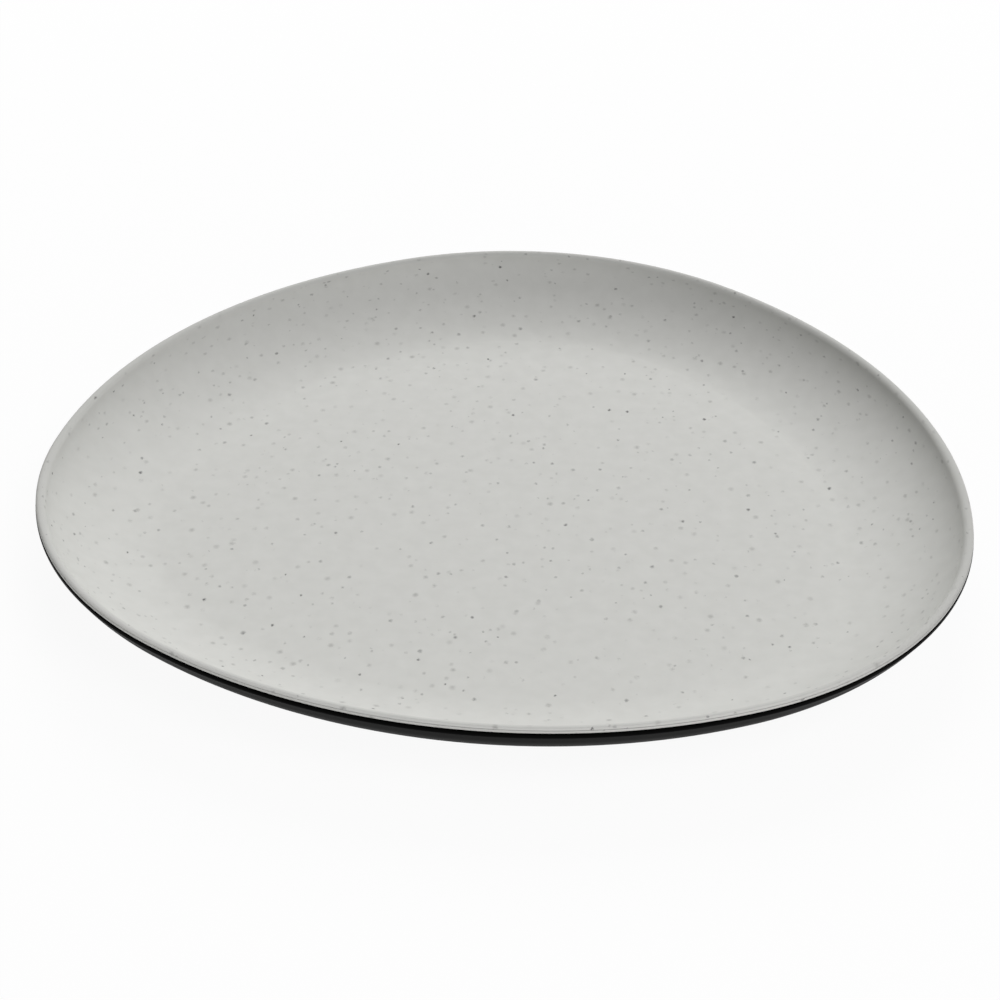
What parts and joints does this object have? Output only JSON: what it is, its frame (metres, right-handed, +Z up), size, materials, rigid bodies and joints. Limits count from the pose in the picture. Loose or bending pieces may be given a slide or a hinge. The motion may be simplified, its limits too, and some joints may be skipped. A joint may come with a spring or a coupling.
{
  "type": "triangular plate",
  "caption": "Shallow coupe plate with a rounded triangular outline: a pale speckled inside layer that laps over the rim, bonded to a black outside layer with a foot ring.",
  "frame": {"origin": "on the table, under the middle of the plate's length and width", "axes": "+Z up out of the well, +Y towards one of the rounded corners, +X along the side opposite that corner"},
  "size_m": [0.265, 0.265, 0.0219],
  "materials": {
    "speckled_pale": "pale warm grey melamine with fine dark specks, matte",
    "black": "black melamine, satin"
  },
  "bodies": {
    "root": {"inner_shell": "speckled_pale", "outer_shell": "black"}
  },
  "joints": []
}
